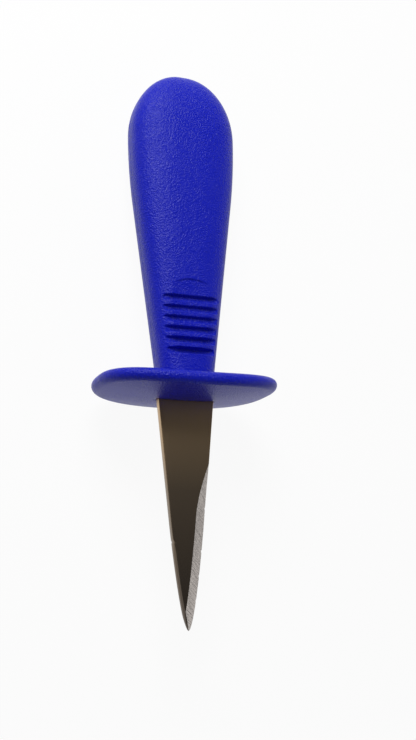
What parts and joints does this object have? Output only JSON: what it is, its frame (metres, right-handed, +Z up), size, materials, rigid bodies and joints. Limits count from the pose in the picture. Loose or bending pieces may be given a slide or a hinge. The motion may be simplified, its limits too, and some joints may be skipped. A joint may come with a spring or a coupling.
{
  "type": "oyster knife",
  "caption": "Short oyster knife: tapered ground blade with a bevelled edge, oval hand guard moulded in one with a rounded blue handle that has a ribbed thumb rest.",
  "frame": {"origin": "on the surface that the knife lies on, under the middle of its length and width", "axes": "+X along the knife towards the tip, level with the surface; +Y across it, towards the bevelled edge; +Z up, on the thumb rest's side. The knife lies as it rests, on the guard's rim and the butt, so its own axis points 6.7 degrees up towards the tip"},
  "size_m": [0.159, 0.0512, 0.0354],
  "materials": {
    "steel": "satin, with a ground bevel",
    "blue_plastic": "fine moulded grain"
  },
  "bodies": {
    "root": {"blade": "steel", "handle": "blue_plastic"}
  },
  "joints": []
}
